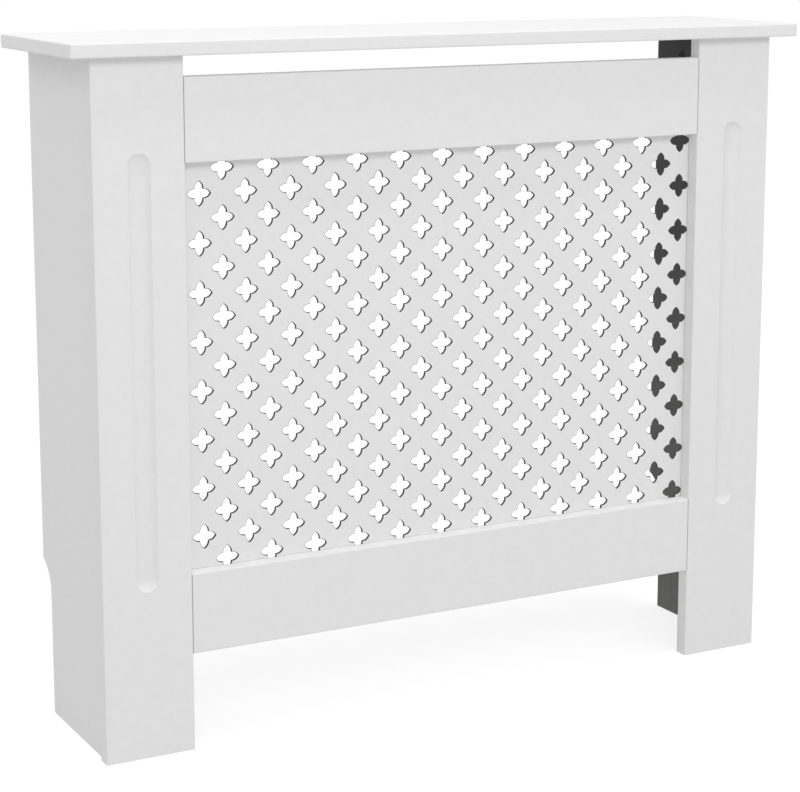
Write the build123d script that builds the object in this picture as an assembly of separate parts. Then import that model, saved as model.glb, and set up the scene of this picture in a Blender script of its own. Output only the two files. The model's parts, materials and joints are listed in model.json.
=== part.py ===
from build123d import *
import math
import os

# Radiator cover cabinet: a white fibreboard box with an open back that stands in front of a radiator.
# Millimetres. X runs along the wall to the right, Y from the room to the wall, Z up.
# Origin: on the floor, below the middle of the top board.

# ---- driving dimensions -------------------------------------------------------------------------

overall_height = 815.0

board_width = 960.0
board_depth = 235.0
board_thickness = 16.0
board_edge_radius = 2.0

front_overhang = 19.0      # top board past the posts, towards the room
side_overhang = 28.0       # top board past the posts, on each side
side_inset = 4.0           # side panels stand this far inside the posts' outer edges

post_width = 108.0
post_thickness = 18.0
post_edge_radius = 1.5
flute_width = 27.0
flute_depth = 6.0

side_thickness = 16.0

skirting_depth = 26.0      # cut-out for the skirting board of the room
skirting_straight = 150.0  # height above the floor where the cut-out starts to curve
skirting_height = 187.0    # height above the floor where the cut-out ends

air_gap = 24.0             # warm air leaves between top rail and top board
top_rail_height = 95.0
floor_gap = 115.0          # cool air enters below the bottom rail
bottom_rail_height = 95.0
rail_edge_radius = 1.5

lattice_thickness = 3.0
lattice_margin = 22.0      # how far the lattice sheet reaches behind posts and rails
lattice_border = 15.0      # least width of plain sheet round the holes
hole_step = 28.3           # from one column or row of holes to the next, every second place is empty
pattern_offset = 4.8       # the holes' middle lies this far right of the window's middle
hole_reach = 14.0          # from the middle of a hole to the tip of a petal
petal_tip_radius = 0.8
petal_tip_angle = 50.0     # how far round the tip's arc runs, each way
petal_root = 5.1           # half the width of a petal where it meets its neighbours
petal_bulge = 4.75         # half the width of a petal farther out
petal_bulge_at = 8.6       # how far out that is

dowel_diameter = 8.0
dowel_length = 30.0
dowel_clearance = 0.1      # all round
dowel_end_gap = 0.5        # between a dowel's end and the bottom of its hole
dowel_chamfer = 1.0
dowel_share = 0.6          # of a board's thickness, where a dowel enters its flat side
post_dowel_inset = 92.0    # from the floor and from the top board
rail_dowel_inset = 24.0    # from a rail's long edges
board_dowel_inset = 20.0   # front dowel of the top board, from the post's back

cam_diameter = 14.5
cam_length = 12.2
cam_clearance = 0.25       # all round
cam_end_gap = 0.5
cam_distance = 34.0        # from the jointed edge of the side panel to the middle of the cam
board_cam_inset = 55.0     # from the front and back edges of the side panel
upper_post_cam_drop = 30.0  # below the top of the window
lower_post_cam_rise = 40.0  # above the lower edge of the bottom rail
cam_chamfer = 0.4
cam_core_radius = 2.6
cam_wall = 0.5
cam_turn = 180.0           # degrees from locked to released
cam_slot_spare = 22.0      # degrees that the neck's slot runs on past each end of the turn
cam_hook_spare = 56.0      # the same for the wider room round the bolt's head
cam_recess_length = 6.5
cam_recess_width = 1.3
cam_recess_depth = 2.4

bolt_thread_diameter = 5.0
bolt_thread_length = 10.5
bolt_collar_diameter = 7.4
bolt_collar_length = 2.0
bolt_shank_diameter = 6.0
bolt_neck_diameter = 4.0
bolt_head_diameter = 6.4
bolt_head_length = 2.6
bolt_head_gap = 0.4        # between the head and the core of the cam
bolt_clearance = 0.3       # all round, in the cam and in the bore of the side panel

bracket_thickness = 2.0
bracket_height = 40.0
bracket_side_leg = 36.0    # along the side panel, back to the wall
bracket_wall_leg = 28.0
bracket_drop = 74.0        # from the underside of the top board to the middle of the bracket
bracket_hole_diameter = 4.6
bracket_hole_step = 22.0   # between the two holes of one leg, one above the other
bracket_hole_inset = 12.0  # from the free end of each leg
bracket_fold_share = 0.9   # outer radius of the fold, of the sheet's thickness

screw_diameter = 3.0
screw_head_diameter = 6.0
screw_head_height = 2.0
screw_head_chamfer = 0.7
screw_recess_length = 3.0
screw_recess_width = 0.8
screw_recess_depth = 1.0
screw_clearance = 0.15     # all round
lattice_screw_reach = 9.0  # into the post or rail
bracket_screw_reach = 10.0
post_screw_shares = (-0.42, -0.14, 0.14, 0.42)  # lattice screws up each post, of the window's height
rail_screw_shares = (-0.38, 0.0, 0.38)          # lattice screws along each rail, of the window's width

# ---- places worked out from them ----------------------------------------------------------------

board_underside = overall_height - board_thickness
wall_face = board_depth / 2
board_front = -board_depth / 2

post_front = board_front + front_overhang
post_back = post_front + post_thickness
post_outer = board_width / 2 - side_overhang
post_inner = post_outer - post_width
post_middle = (post_outer + post_inner) / 2

side_back = wall_face
side_outer = post_outer - side_inset
side_inner = side_outer - side_thickness
side_middle = (side_outer + side_inner) / 2

top_rail_top = board_underside - air_gap
window_top = top_rail_top - top_rail_height
bottom_rail_top = floor_gap + bottom_rail_height
window_bottom = bottom_rail_top
window_width = 2 * post_inner
window_height = window_top - window_bottom
window_middle = (window_top + window_bottom) / 2
rail_middle_depth = (post_front + post_back) / 2

lattice_back = post_back + lattice_thickness
lattice_width = window_width + 2 * lattice_margin
lattice_height = window_height + 2 * lattice_margin
hole_edge = 2 * (hole_reach + lattice_border)
hole_columns = 1 + int((lattice_width - hole_edge - 2 * abs(pattern_offset)) / hole_step)
hole_rows = 1 + int((lattice_height - hole_edge) / hole_step)

bracket_middle_height = board_underside - bracket_drop

dowel_hole_diameter = dowel_diameter + 2 * dowel_clearance
post_dowel_depth = post_thickness * dowel_share
board_dowel_depth = board_thickness * dowel_share
bolt_bore_diameter = bolt_collar_diameter + 2 * bolt_clearance

SIDES = {"left": -1, "right": 1}
CLOSE = 0.1  # slack when an edge is picked by its place


# ---- small helpers ------------------------------------------------------------------------------


def slab(x_range, y_range, z_range):
    """A block between two places along each axis."""
    size = [high - low for low, high in (x_range, y_range, z_range)]
    middle = [(high + low) / 2 for low, high in (x_range, y_range, z_range)]
    return Pos(*middle) * Box(*size)


def rod(start, axis, diameter, length):
    """A round bar that starts at a point and runs along an axis."""
    plane = Plane(origin=start, z_dir=axis)
    return extrude(plane * Circle(diameter / 2), length)


def eased(piece, radius, wanted):
    """Rounds the edges that a test picks."""
    return fillet([edge for edge in piece.edges() if wanted(edge)], radius)


def save(name, *solids):
    """Writes one sub-part as a STEP file."""
    shape = solids[0] if len(solids) == 1 else Compound(children=list(solids))
    shape.label = name
    export_step(shape, f"parts/{name}.step")


# ---- dowels -------------------------------------------------------------------------------------


def dowel(joint, axis, depth_before, depth_after):
    """A beech pin across a joint face: so deep before the face, so deep after it."""
    direction = Vector(*axis)
    start = Vector(*joint) - direction * depth_before
    pin = rod(start, axis, dowel_diameter, depth_before + depth_after)
    return chamfer(pin.edges().filter_by(GeomType.CIRCLE), dowel_chamfer)


def dowel_hole(joint, axis, depth_before, depth_after):
    """The hole that such a pin sits in, with its clearance."""
    direction = Vector(*axis)
    start = Vector(*joint) - direction * (depth_before + dowel_end_gap)
    length = depth_before + depth_after + 2 * dowel_end_gap
    return rod(start, axis, dowel_hole_diameter, length)


def dowel_places():
    """Each kind of dowel joint: joint point, axis, depth before and after the joint face."""
    in_panel = dowel_length - post_dowel_depth
    half = dowel_length / 2
    below_board = dowel_length - board_dowel_depth
    places = {"post_dowels": [], "rail_dowels": [], "board_dowels": []}
    for side in SIDES.values():
        for height in post_dowel_heights:
            joint = (side * side_middle, post_back, height)
            places["post_dowels"].append((joint, (0, 1, 0), post_dowel_depth, in_panel))
        for height in rail_dowel_heights:
            joint = (side * post_inner, rail_middle_depth, height)
            places["rail_dowels"].append((joint, (1, 0, 0), half, half))
        for depth in board_dowel_depths:
            joint = (side * side_middle, depth, board_underside)
            places["board_dowels"].append((joint, (0, 0, 1), below_board, board_dowel_depth))
    return places


post_dowel_heights = (post_dowel_inset, window_middle, board_underside - post_dowel_inset)
rail_dowel_heights = (
    floor_gap + rail_dowel_inset,
    window_bottom - rail_dowel_inset,
    window_top + rail_dowel_inset,
    top_rail_top - rail_dowel_inset,
)
board_dowel_depths = (post_back + board_dowel_inset, (post_back + side_back) / 2)


# ---- cam locks and their bolts ------------------------------------------------------------------

board_cam_depths = {"front": post_back + board_cam_inset, "rear": side_back - board_cam_inset}
post_cam_heights = {"upper": window_top - upper_post_cam_drop, "lower": floor_gap + lower_post_cam_rise}


def cam_places():
    """Each cam lock by name: its side, the joint point that its bolt starts from, the bolt's axis."""
    places = {}
    for name, side in SIDES.items():
        for where, depth in board_cam_depths.items():
            joint = (side * side_middle, depth, board_underside)
            places[f"{name}_board_cam_{where}"] = (side, joint, (0, 0, -1))
        for where, height in post_cam_heights.items():
            joint = (side * side_middle, post_back, height)
            places[f"{name}_post_cam_{where}"] = (side, joint, (0, 1, 0))
    return places


def cam_axis_plane(side, joint, bolt_axis):
    """Plane on the cam's open face: Z out of the panel into the cabinet, X back along the bolt."""
    middle = Vector(*joint) + Vector(*bolt_axis) * cam_distance
    origin = Vector(side * side_inner, middle.Y, middle.Z)
    return Plane(origin=origin, x_dir=-Vector(*bolt_axis), z_dir=(-side, 0, 0))


def sector(inner_radius, outer_radius, middle_height, half_height, spare_angle):
    """Part of a ring round Z: where a bolt at angle 0 runs in the turning cam, with a spare angle each way."""
    start_angle, middle_angle, end_angle = -cam_turn - spare_angle, -cam_turn / 2, spare_angle

    def on_circle(radius, angle):
        turn = math.radians(angle)
        return (radius * math.cos(turn), radius * math.sin(turn))

    outer = ThreePointArc(*[on_circle(outer_radius, a) for a in (start_angle, middle_angle, end_angle)])
    inner = ThreePointArc(*[on_circle(inner_radius, a) for a in (end_angle, middle_angle, start_angle)])
    ends = [Line(outer @ 1, inner @ 0), Line(inner @ 1, outer @ 0)]
    face = make_face([outer, ends[0], inner, ends[1]])
    return Pos(0, 0, middle_height - half_height) * extrude(face, 2 * half_height)


def cam_lock(plane):
    """A cast disc with a cross recess, and a hooked slot that draws the bolt's head in as it turns."""
    radius = cam_diameter / 2
    bolt_depth = -side_thickness / 2
    head_room = bolt_head_diameter / 2 + bolt_clearance
    neck_room = bolt_neck_diameter / 2 + bolt_clearance
    body = Pos(0, 0, -cam_length) * extrude(Circle(radius), cam_length)
    body = chamfer(body.edges().sort_by(Axis.Z)[-1], cam_chamfer)
    hook = sector(cam_core_radius, radius - cam_wall, bolt_depth, head_room, cam_hook_spare)
    slot = sector(radius - 2 * cam_wall, radius + cam_wall, bolt_depth, neck_room, cam_slot_spare)
    body = body - hook - slot
    for long_x, long_y in ((cam_recess_length, cam_recess_width), (cam_recess_width, cam_recess_length)):
        body -= Pos(0, 0, -cam_recess_depth) * extrude(Rectangle(long_x, long_y), cam_recess_depth)
    return plane * body


def cam_bolt(joint, axis):
    """A steel bolt: thread in one board, collar on the joint face, then shank, neck and head."""
    direction = Vector(*axis)
    start = Vector(*joint)
    head_end = cam_distance - cam_core_radius - bolt_head_gap
    head_start = head_end - bolt_head_length
    neck_start = cam_distance - cam_diameter / 2 - bolt_clearance
    pieces = (
        (-bolt_thread_length, 0, bolt_thread_diameter),
        (0, bolt_collar_length, bolt_collar_diameter),
        (bolt_collar_length, neck_start, bolt_shank_diameter),
        (neck_start, head_start, bolt_neck_diameter),
        (head_start, head_end, bolt_head_diameter),
    )
    bolt = None
    for low, high, diameter in pieces:
        length = high - low
        section = rod(start + direction * low, axis, diameter, length)
        bolt = section if bolt is None else bolt + section
    return bolt


def cam_pocket(plane):
    """The blind hole for a cam lock, from the inner face of the side panel."""
    depth = cam_length + cam_end_gap
    return plane * (Pos(0, 0, -depth) * extrude(Circle(cam_diameter / 2 + cam_clearance), depth))


def bolt_bore(joint, axis):
    """The bore in the side panel that leads a bolt to its cam."""
    return rod(joint, axis, bolt_bore_diameter, cam_distance)


def thread_hole(joint, axis):
    """The hole in the top board or post that a bolt's thread is driven into."""
    back = -Vector(*axis)
    return rod(joint, back, bolt_thread_diameter + 2 * dowel_clearance, bolt_thread_length + dowel_end_gap)


# ---- screws -------------------------------------------------------------------------------------


def screw(seat, axis, grip, reach):
    """A pan-head screw: its head rests on the seat, its shank runs along the axis through the grip."""
    head_top = Vector(*seat) - Vector(*axis) * screw_head_height
    head = rod(head_top, axis, screw_head_diameter, screw_head_height)
    rim = head.edges().filter_by(GeomType.CIRCLE).sort_by(lambda e: Vector(*axis).dot(e.center()))[0]
    head = chamfer(rim, screw_head_chamfer)
    head -= cross_recess(seat, axis)
    return head + rod(seat, axis, screw_diameter, grip + reach)


def cross_recess(seat, axis):
    """A small cross in a screw's head."""
    top = Vector(*seat) - Vector(*axis) * screw_head_height
    plane = Plane(origin=top, z_dir=axis)
    bars = Rectangle(screw_recess_length, screw_recess_width)
    bars += Rectangle(screw_recess_width, screw_recess_length)
    return extrude(plane * bars, screw_recess_depth)


def screw_hole(seat, axis, grip, reach):
    """Clearance hole for such a screw, a little longer than it."""
    return rod(seat, axis, screw_diameter + 2 * screw_clearance, grip + reach + dowel_end_gap)


def lattice_screw_seats():
    """Screws on the back of the lattice sheet: up both posts and along both rails."""
    inset = lattice_margin / 2
    seats = []
    for side in SIDES.values():
        for share in post_screw_shares:
            seats.append((side * (post_inner + inset), lattice_back, window_middle + share * window_height))
    for height in (window_bottom - inset, window_top + inset):
        for share in rail_screw_shares:
            seats.append((share * window_width, lattice_back, height))
    return seats


def bracket_screw_seats(side):
    """Screws through the side leg of one wall bracket."""
    x = side * (side_inner - bracket_thickness)
    y = wall_face - bracket_side_leg + bracket_hole_inset
    return [(x, y, bracket_middle_height + s * bracket_hole_step / 2) for s in (-1, 1)]


# ---- sub-parts ----------------------------------------------------------------------------------


def top_board():
    board = slab(
        (-board_width / 2, board_width / 2), (board_front, wall_face), (board_underside, overall_height)
    )

    def seen(edge):
        return edge.center().Y < wall_face - CLOSE

    return eased(board, board_edge_radius, seen)


def post(side):
    outer, inner = side * post_outer, side * post_inner
    body = slab((min(outer, inner), max(outer, inner)), (post_front, post_back), (0, board_underside))

    def front_upright(edge):
        middle = edge.center()
        return middle.Y < post_front + CLOSE and CLOSE < middle.Z < board_underside - CLOSE

    body = eased(body, post_edge_radius, front_upright)
    return body - flute(side * post_middle)


def flute(x):
    """A round-ended groove as a ball-nosed cutter leaves it."""
    half = flute_width / 2
    cutter_radius = (half**2 + flute_depth**2) / (2 * flute_depth)
    axis_depth = post_front - (cutter_radius - flute_depth)
    bottom = Vector(x, axis_depth, window_bottom)
    groove = rod(bottom, (0, 0, 1), 2 * cutter_radius, window_height)
    ends = [Pos(x, axis_depth, height) * Sphere(cutter_radius) for height in (window_bottom, window_top)]
    return groove + ends[0] + ends[1]


def side_panel(side):
    """A panel with the skirting cut-out at its lower back corner, drawn as an outline in the YZ plane."""
    cut_back = side_back - skirting_depth
    corners = [
        (cut_back, skirting_straight),
        (cut_back, 0),
        (post_back, 0),
        (post_back, board_underside),
        (side_back, board_underside),
        (side_back, skirting_height),
    ]
    edges = Polyline(*corners)
    curve = TangentArc(corners[0], corners[-1], tangent=(0, 1))
    outline = make_face([edges, curve])
    start = -side_outer if side < 0 else side_inner
    return extrude(Plane(origin=(start, 0, 0), x_dir=(0, 1, 0), z_dir=(1, 0, 0)) * outline, side_thickness)


def rail(bottom, height):
    """A rail with all four front edges eased, so that a fine groove shows where it meets a post."""
    body = slab((-post_inner, post_inner), (post_front, post_back), (bottom, bottom + height))

    def front(edge):
        return edge.center().Y < post_front + CLOSE

    return eased(body, rail_edge_radius, front)


def petal_hole():
    """Outline of one lattice hole: four petals, each side an arc, each tip a small arc."""
    turn = math.radians(petal_tip_angle)
    tip_start = (
        hole_reach - petal_tip_radius * (1 - math.cos(turn)),
        petal_tip_radius * math.sin(turn),
    )
    upper = ThreePointArc((petal_root, petal_root), (petal_bulge_at, petal_bulge), tip_start)
    lower = upper.mirror(Plane.XZ)
    tip = ThreePointArc(tip_start, (hole_reach, 0), (tip_start[0], -tip_start[1]))
    curves = [Rot(0, 0, 90 * quarter) * curve for quarter in range(4) for curve in (upper, tip, lower)]
    return Wire([edge for curve in curves for edge in curve.edges()])


def lattice():
    """A sheet behind the window with a chequer of petal holes, and round holes for its screws."""
    first_column = pattern_offset - (hole_columns - 1) / 2 * hole_step
    first_row = (hole_rows - 1) / 2 * hole_step
    petals = [
        Location((first_column + column * hole_step, first_row - row * hole_step)) * petal_hole()
        for row in range(hole_rows)
        for column in range(hole_columns)
        if (row + column) % 2 == 1
    ]
    screw_radius = screw_diameter / 2 + screw_clearance
    rounds = [
        Wire(Location((seat[0], seat[2] - window_middle)) * Edge.make_circle(screw_radius))
        for seat in lattice_screw_seats()
    ]
    outline = Wire(Rectangle(lattice_width, lattice_height).edges())
    face = Face(outline, petals + rounds)
    plane = Plane(origin=(0, lattice_back, window_middle), x_dir=(1, 0, 0), z_dir=(0, -1, 0))
    return extrude(plane.location * face, lattice_thickness)


def wall_bracket(side):
    """A folded steel angle: one leg on the side panel, one leg flat on the wall."""
    low = bracket_middle_height - bracket_height / 2
    heights = (low, low + bracket_height)
    near, far = side_inner - bracket_thickness, side_inner
    side_leg = slab(
        tuple(sorted((side * near, side * far))), (wall_face - bracket_side_leg, wall_face), heights
    )
    free = side_inner - bracket_wall_leg
    wall_leg = slab(
        tuple(sorted((side * free, side * far))), (wall_face - bracket_thickness, wall_face), heights
    )
    angle = side_leg + wall_leg

    def outer_fold(edge):
        middle = edge.center()
        upright = abs(middle.Z - bracket_middle_height) < CLOSE
        return upright and abs(middle.X - side * side_inner) < CLOSE and abs(middle.Y - wall_face) < CLOSE

    angle = eased(angle, bracket_thickness * bracket_fold_share, outer_fold)
    for seat in bracket_screw_seats(side):
        angle -= rod((0, seat[1], seat[2]), (side, 0, 0), bracket_hole_diameter, board_width)
    for x, z in bracket_wall_holes(side):
        angle -= rod((x, 0, z), (0, 1, 0), bracket_hole_diameter, board_depth)
    return angle


def bracket_wall_holes(side):
    """Places of the two holes in the leg that lies on the wall."""
    x = side * (side_inner - bracket_wall_leg + bracket_hole_inset)
    return [(x, bracket_middle_height + s * bracket_hole_step / 2) for s in (-1, 1)]


# ---- assembly -----------------------------------------------------------------------------------


def main():
    os.makedirs("parts", exist_ok=True)

    panels = {name: side_panel(side) for name, side in SIDES.items()}
    posts = {name: post(side) for name, side in SIDES.items()}
    board = top_board()
    top_rail = rail(window_top, top_rail_height)
    bottom_rail = rail(floor_gap, bottom_rail_height)

    for kind, joints in dowel_places().items():
        save(kind, *[dowel(*joint) for joint in joints])
        for joint in joints:
            hole = dowel_hole(*joint)
            name = "left" if joint[0][0] < 0 else "right"
            if kind == "post_dowels":
                posts[name] -= hole
                panels[name] -= hole
            elif kind == "rail_dowels":
                posts[name] -= hole
                if joint[0][2] > window_middle:
                    top_rail -= hole
                else:
                    bottom_rail -= hole
            else:
                board -= hole
                panels[name] -= hole

    bolts = {"board_cam_bolts": [], "post_cam_bolts": []}
    for cam_name, (side, joint, axis) in cam_places().items():
        name = "left" if side < 0 else "right"
        plane = cam_axis_plane(side, joint, axis)
        save(cam_name, cam_lock(plane))
        panels[name] = panels[name] - cam_pocket(plane) - bolt_bore(joint, axis)
        if axis[2]:
            bolts["board_cam_bolts"].append(cam_bolt(joint, axis))
            board -= thread_hole(joint, axis)
        else:
            bolts["post_cam_bolts"].append(cam_bolt(joint, axis))
            posts[name] -= thread_hole(joint, axis)
    for name, solids in bolts.items():
        save(name, *solids)

    lattice_screws = []
    for seat in lattice_screw_seats():
        screw_run = (seat, (0, -1, 0), lattice_thickness, lattice_screw_reach)
        lattice_screws.append(screw(*screw_run))
        hole = screw_hole(*screw_run)
        if abs(seat[0]) > post_inner:
            name = "left" if seat[0] < 0 else "right"
            posts[name] -= hole
        elif seat[2] > window_middle:
            top_rail -= hole
        else:
            bottom_rail -= hole
    save("lattice_screws", *lattice_screws)

    bracket_screws = []
    for name, side in SIDES.items():
        save(f"{name}_wall_bracket", wall_bracket(side))
        for seat in bracket_screw_seats(side):
            screw_run = (seat, (side, 0, 0), bracket_thickness, bracket_screw_reach)
            bracket_screws.append(screw(*screw_run))
            panels[name] -= screw_hole(*screw_run)
    save("bracket_screws", *bracket_screws)

    save("top_board", board)
    save("top_rail", top_rail)
    save("bottom_rail", bottom_rail)
    save("lattice_panel", lattice())
    for name in SIDES:
        save(f"{name}_post", posts[name])
        save(f"{name}_side_panel", panels[name])


if __name__ == "__main__":
    main()
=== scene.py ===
import json
import logging
import math
from dataclasses import dataclass, field
from enum import Enum
from functools import reduce

import bmesh
import bpy
import numpy as np
import numpy.typing as npt
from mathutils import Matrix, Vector, geometry


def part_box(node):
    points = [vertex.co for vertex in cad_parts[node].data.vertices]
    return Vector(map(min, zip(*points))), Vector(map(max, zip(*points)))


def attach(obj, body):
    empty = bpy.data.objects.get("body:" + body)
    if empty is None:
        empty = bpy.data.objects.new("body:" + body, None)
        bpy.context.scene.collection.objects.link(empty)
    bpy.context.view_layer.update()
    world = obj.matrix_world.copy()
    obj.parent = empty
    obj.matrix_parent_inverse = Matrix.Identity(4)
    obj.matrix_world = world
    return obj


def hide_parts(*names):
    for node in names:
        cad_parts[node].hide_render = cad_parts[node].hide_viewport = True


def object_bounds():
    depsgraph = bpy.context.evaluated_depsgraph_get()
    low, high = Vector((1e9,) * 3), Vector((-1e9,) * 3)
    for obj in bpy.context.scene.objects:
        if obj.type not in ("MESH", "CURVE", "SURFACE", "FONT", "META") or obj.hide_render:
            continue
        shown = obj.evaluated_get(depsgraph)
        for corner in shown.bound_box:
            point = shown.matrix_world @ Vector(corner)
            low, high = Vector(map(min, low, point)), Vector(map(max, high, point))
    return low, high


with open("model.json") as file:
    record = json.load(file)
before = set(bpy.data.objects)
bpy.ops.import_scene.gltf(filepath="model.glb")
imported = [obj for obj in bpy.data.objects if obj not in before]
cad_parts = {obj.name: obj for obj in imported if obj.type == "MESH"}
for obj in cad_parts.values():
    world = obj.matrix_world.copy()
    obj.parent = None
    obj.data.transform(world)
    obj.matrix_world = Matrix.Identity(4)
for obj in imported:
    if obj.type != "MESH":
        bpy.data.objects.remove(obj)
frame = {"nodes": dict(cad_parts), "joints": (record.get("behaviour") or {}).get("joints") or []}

# Looks of a white radiator cover cabinet: satin lacquer on fibreboard, a pierced lattice sheet,
# beech dowels, black cam locks and steel fasteners. Metres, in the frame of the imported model:
# X along the wall to the right, Y from the room to the wall, Z up from the floor.

LOG = logging.getLogger("radiator_cover")
CABINET = "cabinet"
MM = 0.001
TINY = 1e-6
FULL_TURN = 2.0 * math.pi
CAD_LOW, CAD_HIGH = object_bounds()

# Patterns of the sprayed paint, in features to the metre.
CLOUDS, FINE_CLOUDS, ORANGE_PEEL = 85.0, 520.0, 330.0

Points = npt.NDArray[np.float64]
Indices = npt.NDArray[np.int64]
Colour = tuple[float, float, float]
Place = tuple[float, float, float]
Socket = bpy.types.NodeSocket
Material = bpy.types.Material


class Axis(Enum):
    """One of the three directions of the frame."""

    X = 0
    Y = 1
    Z = 2


class Slot(Enum):
    """The record's material slots."""

    LACQUER = "white_lacquer"
    SIDE = "side_panel_board"
    LATTICE = "lattice_board"
    BEECH = "beech"
    CAM = "cam_zinc"
    BOLT = "bolt_steel"
    SCREW = "screw_steel"
    BRACKET = "bracket_steel"


# ---- surfaces ----


@dataclass
class Surface:
    """A patch of quads and triangles, as arrays of points and of corner numbers."""

    points: Points
    quads: Indices
    triangles: Indices = field(default_factory=lambda: np.zeros((0, 3), np.int64))

    @staticmethod
    def from_grid(grid: Points, wrap: bool = False) -> "Surface":
        """Quads over a grid: each joins neighbours in a row and in the next row.

        Args:
            grid: Points of shape (rows, columns, 3).
            wrap: Whether the last column joins on to the first.

        Returns:
            The surface.
        """
        rows, columns = grid.shape[:2]
        numbers = np.arange(rows * columns).reshape(rows, columns)
        following = np.roll(numbers, -1, axis=1)
        reach = columns if wrap else columns - 1
        corners = (numbers[:-1], following[:-1], following[1:], numbers[1:])
        quads = np.stack([corner[:, :reach] for corner in corners], axis=-1).reshape(-1, 4)
        return Surface(grid.reshape(-1, 3), quads)

    def placed(self, origin: Points, axis: Points) -> "Surface":
        """The same surface, turned and moved.

        Args:
            origin: Where its zero goes.
            axis: Unit vector that its own Z turns to.

        Returns:
            The moved copy.
        """
        across = np.eye(3)[2 if abs(axis[2]) < 0.5 else 0]
        side = np.cross(across, axis)
        side /= np.linalg.norm(side)
        basis = np.stack([side, np.cross(axis, side), axis])
        return Surface(self.points @ basis + origin, self.quads, self.triangles)

    @staticmethod
    def joined(parts: list["Surface"]) -> "Surface":
        """All the parts as one surface, with their corner numbers moved on.

        Args:
            parts: The surfaces.

        Returns:
            The whole.
        """
        starts = np.cumsum([0] + [len(part.points) for part in parts[:-1]])
        return Surface(
            np.concatenate([part.points for part in parts]),
            np.concatenate([part.quads + start for part, start in zip(parts, starts)]),
            np.concatenate([part.triangles + start for part, start in zip(parts, starts)]),
        )

    def to_object(self, name: str, smooth_angle: float = 0.0) -> bpy.types.Object:
        """A mesh object with its doubles merged and its normals pointing out.

        Args:
            name: The piece's name.
            smooth_angle: Faces that meet at fewer degrees shade as one; 0 shades all flat.

        Returns:
            The new object, at the origin.
        """
        mesh = bpy.data.meshes.new(name)
        mesh.from_pydata(self.points.tolist(), [], self.quads.tolist() + self.triangles.tolist())
        work = bmesh.new()
        work.from_mesh(mesh)
        bmesh.ops.remove_doubles(work, verts=work.verts, dist=TINY)
        bmesh.ops.recalc_face_normals(work, faces=work.faces)
        work.to_mesh(mesh)
        work.free()
        mesh.polygons.foreach_set("use_smooth", np.full(len(mesh.polygons), smooth_angle > 0.0))
        if smooth_angle > 0.0:
            mesh.set_sharp_from_angle(angle=math.radians(smooth_angle))
        piece = bpy.data.objects.new(name, mesh)
        bpy.context.scene.collection.objects.link(piece)
        return piece


def lathe(along: Points, radius: Points, columns: int) -> Points:
    """Grid of a turned shape: at each station and angle a, the point (r cos a, r sin a, height).

    Args:
        along: Heights of the stations.
        radius: Radii, shape (rows,), or (rows, columns) if they vary round it.
        columns: Points round each circle.

    Returns:
        Points of shape (rows, columns, 3).
    """
    angle = np.linspace(0.0, FULL_TURN, columns, endpoint=False)
    spread = np.broadcast_to(radius if radius.ndim == 2 else radius[:, None], (len(along), columns))
    height = np.broadcast_to(along[:, None], spread.shape)
    return np.stack([spread * np.cos(angle), spread * np.sin(angle), height], axis=-1)


def arc_through(start: Points, middle: Points, end: Points, count: int) -> Points:
    """Points evenly spaced on the circle through three points, whose centre is where bisectors cross.

    Args:
        start, middle, end: The three points, shape (2,).
        count: How many points to give.

    Returns:
        Points of shape (count, 2).
    """
    rows = np.array([middle - start, end - start])
    centre = np.linalg.solve(2.0 * rows, (rows * (rows + 2.0 * start)).sum(axis=1))
    radius = np.linalg.norm(start - centre)
    angles = [math.atan2(*(point - centre)[::-1]) for point in (start, middle, end)]
    first, mid, last = np.unwrap(angles)
    turn = np.linspace(first, last, count)
    return centre + radius * np.stack([np.cos(turn), np.sin(turn)], axis=-1)


def solids_of(node: str) -> list[tuple[Points, Points]]:
    """Lowest and highest corner of each separate solid in a node, by a walk over its merged mesh.

    Args:
        node: The node.

    Returns:
        One (low, high) pair for each solid.
    """
    work = bmesh.new()
    work.from_mesh(frame["nodes"][node].data)
    bmesh.ops.remove_doubles(work, verts=work.verts, dist=TINY)
    boxes, waiting = [], set(work.verts)
    while waiting:
        walk = [waiting.pop()]
        found = []
        while walk:
            vertex = walk.pop()
            found.append(vertex.co[:])
            near = {edge.other_vert(vertex) for edge in vertex.link_edges} & waiting
            waiting -= near
            walk.extend(near)
        places = np.array(found)
        boxes.append((places.min(axis=0), places.max(axis=0)))
    work.free()
    return sorted(boxes, key=lambda box: tuple(np.round(box[0], 5)))


# ---- finishes ----


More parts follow.
